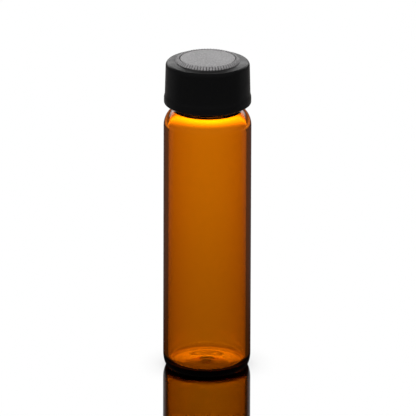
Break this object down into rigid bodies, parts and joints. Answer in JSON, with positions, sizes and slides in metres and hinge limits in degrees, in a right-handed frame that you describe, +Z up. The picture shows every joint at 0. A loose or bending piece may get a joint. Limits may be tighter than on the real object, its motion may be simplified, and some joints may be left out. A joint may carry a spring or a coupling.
{
  "type": "glass sample vial",
  "caption": "Round amber glass vial with a sloping shoulder, a slightly domed base and a black screw cap over a flat sealing liner.",
  "frame": {"origin": "centre of the base, in the plane the vial stands on", "axes": "+Z up along the axis of the vial and cap; the outline is round, and -Y is called the front"},
  "size_m": [0.017, 0.017, 0.0627],
  "materials": {
    "amber_glass": "clear smooth amber glass",
    "black_phenolic": "moulded black, satin gloss, with a stippled top disc",
    "liner_white": "smooth off-white sealing face"
  },
  "bodies": {
    "glass": {"vial": "amber_glass"},
    "liner": {"cap_liner": "liner_white"},
    "cap": {"screw_cap": "black_phenolic"}
  },
  "joints": [
    {"name": "cap_lift", "type": "slide", "parent": "glass", "child": "liner", "axis": [0, 0, 1], "range_m": [0, 0.0127]},
    {"name": "cap_turn", "type": "hinge", "parent": "liner", "child": "cap", "pos_m": [0, 0, 0.06], "axis": [0, 0, 1], "range_deg": [0, 2160]}
  ],
  "couplings": [
    {"joint": "cap_turn", "follows": "cap_lift", "rad_per_m": 2968.4}
  ]
}
